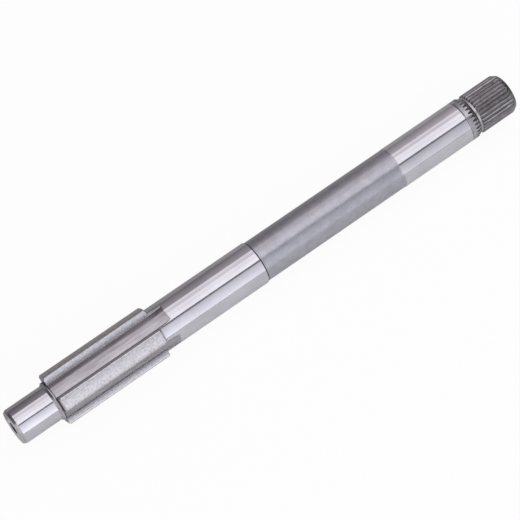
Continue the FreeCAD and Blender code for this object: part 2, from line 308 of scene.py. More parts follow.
def spacingAt(at, x):
    for name, beyond, spacing in ringSpacing:
        if x < at[name] + beyond - meshDetail["spacingSlack"]:
            return spacing
    return lastSpacing


def outlineRings(corners, at):
    # walks the outline with its corners rounded: each ring's x, radius and finish
    rings = []
    rounded = []
    points = [Vector((x, radius)) for x, radius, _, _ in corners]
    longest, cornerShare = meshDetail["longest"], meshDetail["cornerShare"]
    sides = zip(points[:1] + points, points[1:] + points[-1:])
    for here, (before, after), (_, _, rounding, _) in zip(points, sides, corners):
        if rounding == 0:
            rounded.append([here])
            continue
        toBefore, toAfter = before - here, after - here
        half = toBefore.angle(toAfter) / 2
        reach = min(
            rounding / math.tan(half), cornerShare * toBefore.length, cornerShare * toAfter.length
        )
        start, end = here + toBefore.normalized() * reach, here + toAfter.normalized() * reach
        steps = 1 + math.ceil((math.pi - 2 * half) / math.radians(meshDetail["cornerTurn"]))
        # a quadratic curve through the corner's two cut points, close to an arc at these sizes
        shares = [k / steps for k in range(steps + 1)]
        curve = [start * (1 - t) ** 2 + here * 2 * t * (1 - t) + end * t * t for t in shares]
        rounded.append(curve)
    for curve, following, (_, _, _, finish) in zip(rounded, rounded[1:] + [None], corners):
        rings += [(p.x, p.y, finish) for p in curve]
        if following is None:
            break
        start, end = curve[-1], following[0]
        x = start.x
        while end.x - x > longest * spacingAt(at, x):
            x += spacingAt(at, x)
            radius = start.y + (end.y - start.y) * (x - start.x) / (end.x - start.x)
            rings.append((x, radius, finish))
    return rings


def samplesBetween(keys, margins, counts):
    # angles from key to key, with two close ones where a key's margins round its edge
    samples = []
    for start, end, here, there, count in zip(keys, keys[1:], margins, margins[1:], counts):
        first, last = start + math.radians(here[1]), end - math.radians(there[0])
        samples.extend(np.linspace(first, last, count + 1))
    return np.array(samples)


def easeStep(value, start, end):
    # 0 before the start and 1 past the end, with a smooth step between
    share = min(max((value - start) / (end - start), 0), 1)
    return share * share * (3 - 2 * share)


columnCounts = {
    "spline": (9, 2, 4, 5),        # floor, flank below the seat's radius, flank above it, tip
    "serration": (1, 2, 1),        # floor, flank, crest
}
columnMargins = {                  # degrees before and after a key angle
    "spline": ((0, 0), (0.4, 0.4), (0.12, 0.12), (0.35, 0.8), (0, 0)),
    "serration": ((0, 0), (0.1, 0.1), (0.2, 0.2), (0, 0)),
}


def splineColumns(cutter, s, at, x, radius):
    # angles across half a gap and half a tooth, and their x, which bends to the run-out's end
    half = cutter["half"]
    middleEnd = float(runToRadius(cutter, 0.0, s["seatRadius"]))
    cornerEnd = float(runToRadius(cutter, half, s["seatRadius"]))
    bend = 1 - easeStep(abs(x - cutter["stop"] - middleEnd), 0, meshDetail["bendReach"])
    place = max(x + bend * (cornerEnd - middleEnd), at["teethStart"])
    place = min(place, cutter["stop"] + cornerEnd)
    root = cornerAngle(cutter, place)
    least = math.radians(meshDetail["leastFlank"][0])
    seat = max(flankAngle(cutter, place, s["seatRadius"]), root + least)
    chamfered = s["tipRadius"] - s["toothChamfer"]
    tip = flankAngle(cutter, min(place, at["teethEnd"]), max(radius, chamfered))
    if x > at["teethEnd"]:
        seatThere = flankAngle(cutter, at["teethEnd"], s["seatRadius"])
        tip = seat + (tip - seatThere) * (half - seat) / (half - seatThere)
    keys = (0, root, seat, tip, half)
    angles = samplesBetween(keys, columnMargins["spline"], columnCounts["spline"])
    xs = x + bend * (runToRadius(cutter, np.minimum(angles, root), s["seatRadius"]) - middleEnd)
    return angles, xs


def serrationColumns(cutter, s, at, x, radius):
    # the same for half a serration, easing to even angles before the collar's notches
    half = cutter["half"]
    notchStart = cutter["stop"] - float(runToRadius(cutter, 0.0, s["journalRadius"]))
    place = max(x, notchStart + meshDetail["notchStart"])
    root = cornerAngle(cutter, place)
    lowest = lifted(cutter, place, s["serrationRoot"]) + meshDetail["notchHeight"]
    least = math.radians(meshDetail["leastFlank"][1])
    crest = max(flankAngle(cutter, place, max(radius, lowest)), root + least)
    keys = (0, root, crest, half)
    keyed = samplesBetween(keys, columnMargins["serration"], columnCounts["serration"])
    even = np.linspace(0, half, len(keyed))
    share = easeStep(x, at["collarStart"], notchStart - meshDetail["notchEase"])
    return even + (keyed - even) * share, np.full(len(keyed), x)


def unfold(values, sign):
    # half a gap's samples to a whole gap's, without the last, which starts the next gap
    return np.concatenate((sign * values[:0:-1], values[:-1]))


def shaftGrid(s, at, rings, cutter, columnsOf, fillet):
    # one stretch of the shaft as a grid of rings by columns
    grid = {"points": [], "depth": [], "angle": [], "finish": []}
    centres = cutter["turn"] + np.arange(cutter["count"]) * 2 * cutter["half"]
    for x, radius, finish in rings:
        angles, xs = columnsOf(cutter, s, at, x, radius)
        straight = cutter["side"] * (x - cutter["stop"]) <= 0
        inTeeth = straight or radius > s["seatRadius"] + meshDetail["cutDepth"]
        blend = fillet if inTeeth else meshDetail["runOutFillet"]
        r = softMin(np.full_like(angles, radius), cutRadius(cutter, xs, angles, fillet), blend)
        if x < at["teethStart"] - hair:
            r = np.full_like(angles, radius)
        around = (centres[:, None] + unfold(angles, -1)[None, :]).ravel()
        r = np.tile(unfold(r, 1), cutter["count"])
        xs = np.tile(unfold(xs, 1), cutter["count"])
        grid["points"].append(np.stack((xs, -r * np.sin(around), r * np.cos(around)), axis=1))
        grid["depth"].append(radius - r)
        grid["angle"].append(around)
        grid["finish"].append(finish)
    grid["perGap"] = len(grid["angle"][0]) // cutter["count"]
    return grid


centreHole = {
    "columns": 72,
    "faceInner": 0.62,             # share of the end's radius where its fine columns end
    "brokenEdge": 0.05,            # countersink's mouth
    "uvShrink": 0.96,
}


def holeOutline(s, faceX, inward, faceRadius):
    # one end face and its centre hole from the rim inward: x, radius and finish
    hole = centreHole
    mouth, pilot = s["centreMouth"], s["pilotRadius"]
    sinkDepth = (mouth - pilot) / math.tan(math.radians(s["centreSlope"]))
    pointDepth = pilot / math.tan(math.radians(s["pointSlope"]))
    middle = (faceRadius * hole["faceInner"] + mouth) / 2
    runs = (                       # depth, radius and finish
        (0, middle, "endFace"),
        (0, mouth + hole["brokenEdge"], "hole"),
        (hole["brokenEdge"], mouth, "hole"),
        (sinkDepth * 0.5, (mouth + pilot) / 2, "hole"),
        (sinkDepth, pilot, "hole"),
        (sinkDepth + s["pilotDepth"], pilot, "hole"),
        (sinkDepth + s["pilotDepth"] + pointDepth, 0, "hole"),
    )
    return [(faceX + inward * depth, radius, finish) for depth, radius, finish in runs]


uvMap = {
    "span": 141.0,                 # millimetres across the whole map
    "leftBand": (0.012, 0.012),
    "rightBand": (0.530, 0.012),
    "fromEnd": 1.0,                # from a cut's end to the ring that sets a band's width
    "plainEnd": (0.10, 0.93),
    "leverEnd": (0.30, 0.93),
}


def sectionLengths(grid, ring):
    # length round the shaft from the first column to each column, and back to the first
    points = grid["points"][ring][:, 1:]
    closed = np.vstack((points, points[:1]))
    return np.concatenate(([0], np.cumsum(np.linalg.norm(np.diff(closed, axis=0), axis=1))))


def outlineLengths(rings):
    # length along an outline from its first point to each
    steps = [math.hypot(b[0] - a[0], b[1] - a[1]) for a, b in zip(rings, rings[1:])]
    return np.concatenate(([0], np.cumsum(steps)))


class MeshParts:
    # points, faces, their map places and their finishes, gathered before the mesh is made
    def __init__(self):
        self.points, self.faces, self.places, self.finishes = [], [], [], []

    def addRing(self, points):
        first = len(self.points)
        self.points.extend(points.tolist())
        return first

    def addFace(self, corners, places, finish):
        self.faces.append(corners)
        self.places.extend(places)
        self.finishes.append(finish)


def bandPlaces(grid, ring, band):
    # where an angle lies across its band of the map, and the same for each column
    lengths = sectionLengths(grid, ring) / uvMap["span"]
    angles = np.concatenate((grid["angle"][ring], grid["angle"][ring][:1] + 2 * math.pi))
    return lambda angle: band[0] + float(np.interp(angle, angles, lengths)), lengths + band[0]


cutFinishes = {                    # turned surface, cut floor, cut flank
    "ground": ("ground", "floor", "flank"),
    "turned": ("turned", "notch", "notch"),
    "collar": ("collar", "notch", "notch"),
    "spline": ("satin", "floor", "flank"),
    "toothEnd": ("turned", "floor", "flank"),
    "serration": ("crest", "notch", "groove"),
}


def addGrid(parts, grid, us, vs, floorCount):
    # faces between the rings, each with the finish of what was cut there
    rings = [parts.addRing(points) for points in grid["points"]]
    columns = len(grid["depth"][0])
    perGap = grid["perGap"]
    for i, (here, there) in enumerate(zip(rings, rings[1:])):
        name = grid["finish"][i]
        plain, floor, flank = cutFinishes.get(name, (name, name, name))
        for j in range(columns):
            k = (j + 1) % columns
            depth = grid["depth"][i][[j, k]].sum() + grid["depth"][i + 1][[j, k]].sum()
            side = j % perGap - perGap // 2
            cut = floor if min(abs(side), abs(side + 1)) < floorCount else flank
            finish = plain if depth / 4 < meshDetail["cutDepth"] else cut
            corners = (here + j, here + k, there + k, there + j)
            u, nextU, v, nextV = us[j], us[j + 1], vs[i], vs[i + 1]
            parts.addFace(corners, ((u, v), (nextU, v), (nextU, nextV), (u, nextV)), finish)
    return rings


def zipRings(parts, first, firstAngles, second, secondAngles, placeOf, finish):
    # joins two rings with different counts of columns by triangles
    turn = 2 * math.pi
    firstCount, secondCount = len(firstAngles), len(secondAngles)
    offset = int(np.argmin(np.abs((secondAngles - firstAngles[0] + math.pi) % turn - math.pi)))
    order = [(offset + k) % secondCount for k in range(secondCount + 1)]
    a = np.append(firstAngles, firstAngles[0] + turn)
    b = secondAngles[order]
    b = b + turn * np.round((a[0] - b[0]) / turn)
    b[1:] += turn * np.cumsum(np.diff(b) < 0)
    i = j = 0
    while i < firstCount or j < secondCount:
        here, there = first + i % firstCount, second + order[j]
        if j == secondCount or (i < firstCount and a[i + 1] <= b[j + 1]):
            i += 1
            following = (first + i % firstCount, a[i], 0)
            corners = ((here, a[i - 1], 0), following, (there, b[j], 1))
        else:
            j += 1
            following = (second + order[j], b[j], 1)
            corners = ((here, a[i], 0), following, (there, b[j - 1], 1))
        places = [placeOf(angle, side) for _, angle, side in corners]
        parts.addFace([point for point, _, _ in corners], places, finish)


def addEnd(parts, outline, rimRing, rimAngles, rimRadius, centre, atStart):
    # end face with its centre hole, joined to the shaft's first or last ring
    columns = centreHole["columns"]
    angles = np.arange(columns) * 2 * math.pi / columns
    lengths = outlineLengths([(outline[0][0], rimRadius)] + outline)
    reach = rimRadius * centreHole["uvShrink"] * (1 - lengths / lengths[-1]) / uvMap["span"]

    def place(angle, k):
        return centre[0] + reach[k] * math.cos(angle), centre[1] + reach[k] * math.sin(angle)

    def addEndFace(corners, finish):
        # corners are a point, its column and its ring
        ordered = corners[::-1] if atStart else corners
        places = [place(column * 2 * math.pi / columns, ring) for _, column, ring in ordered]
        parts.addFace([point for point, _, _ in ordered], places, finish)

    rings = []
    for x, radius, _ in outline[:-1]:
        y, z = -radius * np.sin(angles), radius * np.cos(angles)
        rings.append(parts.addRing(np.stack((np.full(columns, x), y, z), axis=1)))
    tip = parts.addRing(np.array([[outline[-1][0], 0.0, 0.0]]))
    rim, first = (rimRing, rimAngles), (rings[0], angles)
    pair = first + rim if atStart else rim + first
    zipRings(parts, *pair, lambda angle, side: place(angle, int(side != atStart)), "endFace")
    for k, (outer, inner) in enumerate(zip(rings, rings[1:]), start=1):
        for j in range(columns):
            n = (j + 1) % columns
            outerPair = [(outer + j, j, k), (outer + n, j + 1, k)]
            innerPair = [(inner + n, j + 1, k + 1), (inner + j, j, k + 1)]
            addEndFace(outerPair + innerPair, outline[k - 1][2])
    inner, last = rings[-1], len(rings)
    for j in range(columns):
        outerPair = [(inner + j, j, last), (inner + (j + 1) % columns, j + 1, last)]
        addEndFace(outerPair + [(tip, j + 0.5, last + 1)], "hole")


def makeShaft(s, materials):
    at = stationsOf(s)
    spline, serration = splineCutter(s, at), serrationCutter(s, at)
    rings = outlineRings(turnedCorners(s, at, spline), at)

    def lastRing(x, radius=0.0):
        return max(i for i, ring in enumerate(rings) if ring[0] <= x and ring[1] > radius)

    # the mesh changes its columns on the small step at the end of the gear's seat
    detail = meshDetail
    split = lastRing(at["seatEnd"] + hair, s["middleRadius"] + detail["stepFoot"]) + 1
    left = shaftGrid(s, at, rings[:split], spline, splineColumns, detail["splineFillet"])
    right = shaftGrid(s, at, rings[split:], serration, serrationColumns, detail["serrationFillet"])
    print("rings", len(left["points"]), len(right["points"]))
    print("columns", len(left["angle"][0]), len(right["angle"][0]))

    parts = MeshParts()
    span = uvMap["span"]
    toothRing = lastRing(at["splineStop"] - uvMap["fromEnd"])
    crestRing = lastRing(at["serrationEnd"] - uvMap["fromEnd"]) - split
    leftPlace, leftUs = bandPlaces(left, toothRing, uvMap["leftBand"])
    _, rightUs = bandPlaces(right, crestRing, uvMap["rightBand"])
    leftVs = outlineLengths(rings[:split]) / span + uvMap["leftBand"][1]
    rightVs = outlineLengths(rings[split:]) / span + uvMap["rightBand"][1]
    leftRings = addGrid(parts, left, leftUs, leftVs, columnCounts["spline"][0])
    rightRings = addGrid(parts, right, rightUs, rightVs, columnCounts["serration"][0])
    joinStep = detail["joinStep"] / span
    # the join lies on the step and takes its painted shade finish
    zipRings(
        parts, leftRings[-1], left["angle"][-1], rightRings[0], right["angle"][0],
        lambda angle, side: (leftPlace(angle), float(leftVs[-1]) + side * joinStep), "crevice",
    )
    x, radius, _ = rings[0]
    outline = holeOutline(s, x, 1, s["endJournalRadius"] - s["endChamfer"][1])
    addEnd(parts, outline, leftRings[0], left["angle"][0], radius, uvMap["plainEnd"], True)
    x, radius, _ = rings[-1]
    outline = holeOutline(s, x, -1, s["serrationRadius"] - s["leverChamfer"][1])
    addEnd(parts, outline, rightRings[-1], right["angle"][-1], radius, uvMap["leverEnd"], False)
    return shaftMesh(parts, materials)


def addObject(name, data):
    item = bpy.data.objects.new(name, data)
    bpy.context.scene.collection.objects.link(item)
    return item


def shaftMesh(parts, materials):
    # points and faces in metres, with a material slot for each finish
    mesh = bpy.data.meshes.new("finishedShaft")
    mesh.from_pydata((np.array(parts.points) * millimetre).tolist(), [], parts.faces)
    slots = list(materials)
    for name in slots:
        mesh.materials.append(materials[name])
    mesh.polygons.foreach_set("material_index", [slots.index(name) for name in parts.finishes])
    layer = mesh.uv_layers.new(name="OFBake")
    layer.data.foreach_set("uv", np.array(parts.places, np.float32).ravel())
    work = bmesh.new()
    work.from_mesh(mesh)
    merge, dissolve = meshDetail["merge"] * millimetre, meshDetail["dissolve"] * millimetre
    bmesh.ops.remove_doubles(work, verts=work.verts, dist=merge)
    bmesh.ops.dissolve_degenerate(work, edges=work.edges, dist=dissolve)
    work.to_mesh(mesh)
    work.free()
    mesh.validate()
    mesh.shade_smooth()
    piece = addObject("finishedShaft", mesh)
    piece.modifiers.new("faceNormals", "WEIGHTED_NORMAL")
    mesh.calc_loop_triangles()
    print("shaft mesh", len(mesh.vertices), "points", len(mesh.loop_triangles), "triangles")
    return piece


def startMaterial(name):
    material = bpy.data.materials.new(name)
    material.use_nodes = True
    material.node_tree.nodes.clear()
    return material


def addNode(tree, kind, settings=None, **inputs):
    # a node whose inputs are values, or other nodes' outputs to link
    node = tree.nodes.new("ShaderNode" + kind)
    for name, value in (settings or {}).items():
        setattr(node, name, value)
    for name, value in inputs.items():
        number = name[1:]
        socket = node.inputs[int(number) if number.isdigit() else name.replace("_", " ")]
        if isinstance(value, bpy.types.NodeSocket):
            tree.links.new(value, socket)
        else:
            socket.default_value = value
    return node


def calculate(tree, operation, *values):
    inputs = {"i" + str(k): value for k, value in enumerate(values)}
    return addNode(tree, "Math", {"operation": operation}, **inputs).outputs[0]


def ranged(tree, value, start, end, low, high):
    node = addNode(tree, "MapRange", Value=value, i1=start, i2=end, i3=low, i4=high)
    return node.outputs["Result"]


def mixColour(tree, share, first, second):
    return addNode(tree, "Mix", {"data_type": "RGBA"}, i0=share, i6=first, i7=second).outputs[2]


def finishTree(tree, kind, surface):
    output = addNode(tree, kind)
    tree.links.new(surface, output.inputs["Surface"])


def noiseAt(tree, place, perMetre, detail, roughness=0.55, turn=0.0):
    # noise whose grain is stretched by its counts per metre along X, Y and Z
    if turn:
        place = addNode(tree, "Mapping", Vector=place, Rotation=(0, turn, turn)).outputs["Vector"]
    place = addNode(tree, "Mapping", Vector=place, Scale=perMetre).outputs["Vector"]
    noise = addNode(tree, "TexNoise", Vector=place, Scale=1.0, Detail=detail, Roughness=roughness)
    return noise.outputs["Fac"]


commonFinish = {                   # what a finish below has unless it says otherwise
    "clouds": (500, 500, 500),
    "waves": (300, 300, 300),
    "waveDepth": 3e-6,
    "grain": 6000,
    "grainDepth": 0.8e-6,
    # occlusion levels where the painted corner shade is full and where it ends, and the share of
    # tone left under it
    "corners": (0.40, 0.80, 0.25),
}
finishes = {
    "ground": {                    # journals and gear seat, ground round the axis
        "tones": ((0.575, 0.56, 0.585), (0.655, 0.64, 0.665)),
        "clouds": (90, 160, 160),
        "marks": (5200, 40, 40),
        "roughness": (0.09, 0.15),
        "markDepth": 0.4e-6,
        "waves": (160, 330, 330),
        "waveDepth": 4e-6,
        "grain": 9000,
        "grainDepth": 0.12e-6,
        "anisotropy": 0.45,
    },
    "turned": {                    # cones, chamfers and small grooves
        "tones": ((0.40, 0.385, 0.40), (0.55, 0.53, 0.545)),
        "marks": (9000, 60, 60),
        "roughness": (0.20, 0.33),
        "markDepth": 1.2e-6,
        "waves": (500, 500, 500),
        "grain": 8000,
        "grainDepth": 0.3e-6,
        "anisotropy": 0.3,
        "corners": (0.50, 0.90, 0.10),
    },
    "crevice": {                   # painted shade: dark lines over the seat's end and step and low in the vee
        "tones": ((0.09, 0.085, 0.09), (0.17, 0.16, 0.165)),
        "clouds": (900, 500, 500),
        "marks": (7000, 90, 90),
        "roughness": (0.26, 0.40),
        "markDepth": 1.5e-6,
        "waves": (500, 500, 500),
        "grain": 8000,
        "grainDepth": 0.5e-6,
        "corners": (0.50, 0.95, 0.30),
    },
    "collar": {                    # notched collar, ground and then handled
        "tones": ((0.36, 0.35, 0.375), (0.48, 0.47, 0.49)),
        "clouds": (600, 600, 600),
        "marks": (6000, 50, 50),
        "roughness": (0.16, 0.26),
        "markDepth": 0.8e-6,
        "waves": (300, 400, 400),
        "waveDepth": 5e-6,
        "grain": 9000,
        "grainDepth": 0.3e-6,
        "anisotropy": 0.3,
        "corners": (0.45, 0.90, 0.20),
    },
    "satin": {                     # tips of the spline teeth, lightly scuffed
        "tones": ((0.46, 0.44, 0.445), (0.67, 0.65, 0.655)),
        "clouds": (1300, 1300, 1300),
        "marks": (420, 6500, 2600),
        "turn": 0.75,
        "roughness": (0.27, 0.42),
        "markDepth": 4e-6,
        "waveDepth": 5e-6,
        "grain": 6500,
        "grainDepth": 1.8e-6,
        "corners": (0.50, 0.78, 0.06),
    },
    "floor": {                     # milled floors of the gaps and run-outs, marked lengthwise
        "tones": ((0.31, 0.292, 0.306), (0.455, 0.432, 0.452)),
        "clouds": (130, 700, 700),
        "marks": (50, 3300, 3300),
        "roughness": (0.15, 0.26),
        "markDepth": 1.8e-6,
        "waves": (40, 900, 900),
        "grainDepth": 0.9e-6,
        "corners": (0.36, 0.70, 0.25),
    },
    "blasted": {                   # plain middle, not ground
        "tones": ((0.385, 0.38, 0.41), (0.46, 0.455, 0.485)),
        "clouds": (320, 380, 380),
        "marks": (2600, 1400, 1400),
        "roughness": (0.26, 0.34),
        "markDepth": 2e-6,
        "grain": 4200,
        "grainDepth": 2.6e-6,
    },
    "crest": {                     # tops of the serrations
        "tones": ((0.12, 0.112, 0.116), (0.24, 0.228, 0.232)),
        "marks": (1200, 700, 700),
        "roughness": (0.22, 0.36),
        "markDepth": 2.5e-6,
        "waves": (400, 400, 400),
        "waveDepth": 5e-6,
        "grainDepth": 1.0e-6,
        "corners": (0.30, 0.90, 0.60),
    },
    "notch": {                     # floors of the serrations, and their cuts in the collar, painted near black as the shade in these narrow recesses
        "tones": ((0.07, 0.065, 0.07), (0.17, 0.16, 0.165)),
        "marks": (160, 3800, 3800),
        "roughness": (0.22, 0.36),
        "markDepth": 1.2e-6,
        "waves": (300, 500, 500),
        "corners": (0.40, 0.95, 0.30),
    },
    "groove": {                    # sides of the serrations
        "tones": ((0.22, 0.205, 0.21), (0.35, 0.33, 0.335)),
        "clouds": (420, 420, 420),
        "marks": (160, 3800, 3800),
        "roughness": (0.06, 0.12),
        "markDepth": 0.15e-6,
        "waves": (300, 500, 500),
        "waveDepth": 0.8e-6,
        "grainDepth": 0.08e-6,
        "corners": (0.40, 0.58, 0.10),
    },
    "endFace": {                   # faced ends, marked in rings about the axis
        "tones": ((0.50, 0.49, 0.49), (0.64, 0.63, 0.63)),
        "marks": (200, 2400, 2400),
        "rings": 3400,
        "roughness": (0.26, 0.40),
        "markDepth": 1.6e-6,
        "waveDepth": 5e-6,
    },
    "hole": {                      # centre holes, painted dark as the shade inside them
        "tones": ((0.05, 0.047, 0.047), (0.18, 0.175, 0.175)),
        "clouds": (600, 600, 600),
        "marks": (7000, 90, 90),
        "roughness": (0.20, 0.40),
        "markDepth": 2e-6,
        "waves": (600, 600, 600),
        "waveDepth": 4e-6,
        "corners": (0.45, 0.98, 0.10),
    },
}
# sides of the teeth, smoother than their tips, with painted corner shade almost up to the edge
finishes["flank"] = dict(
    finishes["satin"],
    roughness=(0.12, 0.20), markDepth=1e-6, grainDepth=0.5e-6, corners=(0.76, 0.95, 0.03),
)
steelLook = {
    "cornerReach": 0.0035,         # metres; painted shade darkens the inner corners this far, found by ambient occlusion
    "cornerColour": (0.045, 0.04, 0.045),
    "cornerSamples": 8,
    "noiseDetail": (5.0, 4.0, 2.0, 2.0),     # of clouds, marks, waves and grain
    "markRoughness": 0.65,
    "noiseRange": (0.32, 0.68),    # where most of a noise lies, spread over a finish's range
    "markTone": 0.35,              # share of the marks in the tone
    "ringShare": 0.55,             # share of the rings in the marks
    "ringWander": 1.5,
    "ringDetail": 2.0,
    "highlightTurn": 0.25,         # of the stretched highlights, in turns
}


def steelFinish(name, look):
    # clouds and marks set the tone, marks the roughness, and waves, marks and grain the relief;
    # ambient occlusion paints shade into inner corners
    material = startMaterial("steel_" + name)
    tree = material.node_tree
    low, high = steelLook["noiseRange"]
    place = addNode(tree, "TexCoord").outputs["Object"]
    cloudDetail, markDetail, waveDetail, grainDetail = steelLook["noiseDetail"]
    turn, rough = look.get("turn", 0.0), steelLook["markRoughness"]
    clouds = noiseAt(tree, place, look["clouds"], cloudDetail)
    marks = noiseAt(tree, place, look["marks"], markDetail, roughness=rough, turn=turn)
    waves = noiseAt(tree, place, look["waves"], waveDetail)
    grain = noiseAt(tree, place, (look["grain"],) * 3, grainDetail)
    if "rings" in look:
        rings = addNode(
            tree, "TexWave", {"wave_type": "RINGS", "rings_direction": "X"}, Vector=place,
            Scale=look["rings"] / (2 * math.pi), Distortion=steelLook["ringWander"],
            Detail=steelLook["ringDetail"],
        ).outputs["Fac"]
        share = steelLook["ringShare"]
        mixed = addNode(tree, "Mix", {"data_type": "FLOAT"}, Factor=share, A=marks, B=rings)
        marks = mixed.outputs[0]
    markTone = steelLook["markTone"]
    tone = calculate(tree, "MULTIPLY_ADD", marks, markTone, -markTone / 2)
    tone = ranged(tree, calculate(tree, "ADD", clouds, tone), low, high, 0.0, 1.0)
    dark, light = look["tones"]
    colour = mixColour(tree, tone, (*dark, 1), (*light, 1))
    # painted shade: the tone darkens towards a near-black colour where ambient occlusion finds an
    # inner corner
    corners = addNode(
        tree, "AmbientOcclusion", {"samples": steelLook["cornerSamples"], "only_local": True},
        Distance=steelLook["cornerReach"],
    )
    dark, clear, left = look["corners"]
    kept = ranged(tree, corners.outputs["AO"], dark, clear, left, 1.0)
    colour = mixColour(tree, kept, (*steelLook["cornerColour"], 1), colour)
    roughness = ranged(tree, marks, low, high, *look["roughness"])
    normal = None
    for height, depth in ((waves, "waveDepth"), (marks, "markDepth"), (grain, "grainDepth")):
        bump = addNode(tree, "Bump", Height=height, Distance=look[depth], Strength=1.0)
        if normal:
            tree.links.new(normal, bump.inputs["Normal"])
        normal = bump.outputs["Normal"]
    shader = addNode(
        tree, "BsdfPrincipled", Base_Color=colour, Metallic=1.0, Roughness=roughness, Normal=normal,
        Anisotropic=look.get("anisotropy", 0.0),
    )
    if "anisotropy" in look:
        around = addNode(tree, "Tangent", {"direction_type": "RADIAL", "axis": "X"})
        tree.links.new(around.outputs["Tangent"], shader.inputs["Tangent"])
        shader.inputs["Anisotropic Rotation"].default_value = steelLook["highlightTurn"]
    finishTree(tree, "OutputMaterial", shader.outputs["BSDF"])
    return material


materials = {name: steelFinish(name, {**commonFinish, **look}) for name, look in finishes.items()}
print("finishes", len(materials))
shaftPiece = makeShaft(shaft, materials)
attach(shaftPiece, "root")
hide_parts("kick_start_shaft")


floorLook = {
    "size": 6.0,
    "colour": (0.86, 0.86, 0.86, 1),
    "seenWhite": 0.94,             # share of plain white in what the camera sees
    "clearance": 0.02,             # millimetres under the shaft
    "shadeLift": 0.6,              # of the painted-shadow card over the lever end's lowest side
}


def makeFloor(look, s):
    # the shaft lies on two teeth's lower edges and on its lever end, so the floor tilts a little
    at = stationsOf(s)
    tooth = math.pi / s["splineTeeth"] - math.asin(s["toothWidth"] / 2 / s["tipRadius"])
    teethLow = -s["tipRadius"] * math.cos(tooth)
    slope = (-s["serrationRadius"] - teethLow) / (at["serrationEnd"] - at["splineStop"])
    half = look["size"] / 2
    points = [(-half, -half, 0), (half, -half, 0), (half, half, 0), (-half, half, 0)]
    mesh = bpy.data.meshes.new("floor")
    mesh.from_pydata(points, [], [(0, 1, 2, 3)])
    floor = addObject("floor", mesh)
    floor.rotation_euler = (0, -math.atan(slope), 0)
    floor.location = (at["splineStop"] * millimetre, 0, (teethLow - look["clearance"]) * millimetre)
    material = startMaterial("paleFloor")
    tree = material.node_tree
    lit = addNode(tree, "BsdfDiffuse", Color=look["colour"]).outputs["BSDF"]
    white = addNode(tree, "Emission", Color=(1, 1, 1, 1), Strength=1.0).outputs["Emission"]
    rays = addNode(tree, "LightPath")
    seen = calculate(tree, "MULTIPLY", rays.outputs["Is Camera Ray"], look["seenWhite"])
    mixed = addNode(tree, "MixShader", i0=seen, i1=lit, i2=white).outputs["Shader"]
    finishTree(tree, "OutputMaterial", mixed)
    mesh.materials.append(material)
    # a height just above the floor all along the shaft
    return (-s["serrationRadius"] + look["shadeLift"]) * millimetre


shadeHeight = makeFloor(floorLook, shaft)
print("floor laid")


# Softboxes and dark cards stand round the shaft's axis. Their angles are from +Z
# towards -Y, and their light is given as seen, where 1 is white, at both angles.
# "far" is the share of it that is left past the lever end.
studio = {
    "distance": 0.80,
    "behind": 0.86,                # distance of the cards, behind the softboxes
    "middleX": 0.30,
    "length": 1.4,
    "fadeX": (0.0, 0.6),           # where the light starts and ends to change along X
    "softboxes": {
        "backBox": {
            "from": -38.0, "to": -28.0, "light": (0.98, 0.94), "far": 0.92,
            "colour": (0.985, 0.945, 1.0),
        },
        "highBox": {
            "from": -28.0, "to": -14.0, "light": (0.83, 0.77), "far": 0.85,
            "colour": (0.985, 0.945, 1.0),
        },
        "topBox": {
            "from": -14.0, "to": 4.0, "light": (1.00, 1.02), "far": 1.18,
            "colour": (0.965, 0.945, 1.0),
        },
        "brightBox": {
            "from": 4.5, "to": 25.2, "light": (1.22, 1.34), "far": 0.93,
            "colour": (0.93, 0.93, 1.0),
        },
        "frontBox": {
            "from": 33.6, "to": 88.0, "light": (0.90, 1.72), "far": 0.33,
            "colour": (0.89, 0.905, 1.0),
        },
    },
    "cards": {
        "backCard": {
            "from": -90.0, "to": -38.0, "light": (0.11, 0.24), "far": 3.2,
            "colour": (0.98, 0.91, 1.0),
        },
        "topCard": {
            "from": -38.0, "to": 88.0, "light": (0.20, 0.20),
            "colour": (0.98, 0.97, 1.0),
        },
        "lowCard": {
            "from": 88.0, "to": 90.0, "light": (0.3, 0.3),
            "colour": (0.96, 0.965, 1.0),
        },
    },
    "cardStep": 5.0,               # degrees
    "roomLight": 0.35,             # what diffuse surfaces get from the room
    "endCards": {                  # end 0 is past the plain end, 1 past the lever end
        "nearBack": {
            "end": 0, "from": -90, "to": 8, "light": (0.08, 0.18),
            "colour": (1.0, 0.97, 1.0),
        },
        "nearFront": {
            "end": 0, "from": 8, "to": 90, "light": (1.15, 0.8),
            "colour": (0.96, 0.96, 1.0),
        },
        "farEnd": {
            "end": 1, "from": -90, "to": 90, "light": (0.18, 0.22),
            "colour": (1.0, 0.97, 0.98),
        },
    },
    "floorShade": {
        "reach": (0.0075, 0.5), "light": (0.34, 0.28), "far": 2.0,
        "colour": (1.0, 0.97, 0.98),
    },
}


def fadedLight(tree, look, across, along):
    # light that changes from one angle to the other, and along X
    levels = ranged(tree, across, 0.0, 1.0, *look["light"])
    fade = ranged(tree, along, *studio["fadeX"], 1.0, look.get("far", 1.0))
    level = calculate(tree, "MULTIPLY", levels, fade)
    return addNode(tree, "Emission", Color=(*look["colour"], 1), Strength=level).outputs["Emission"]


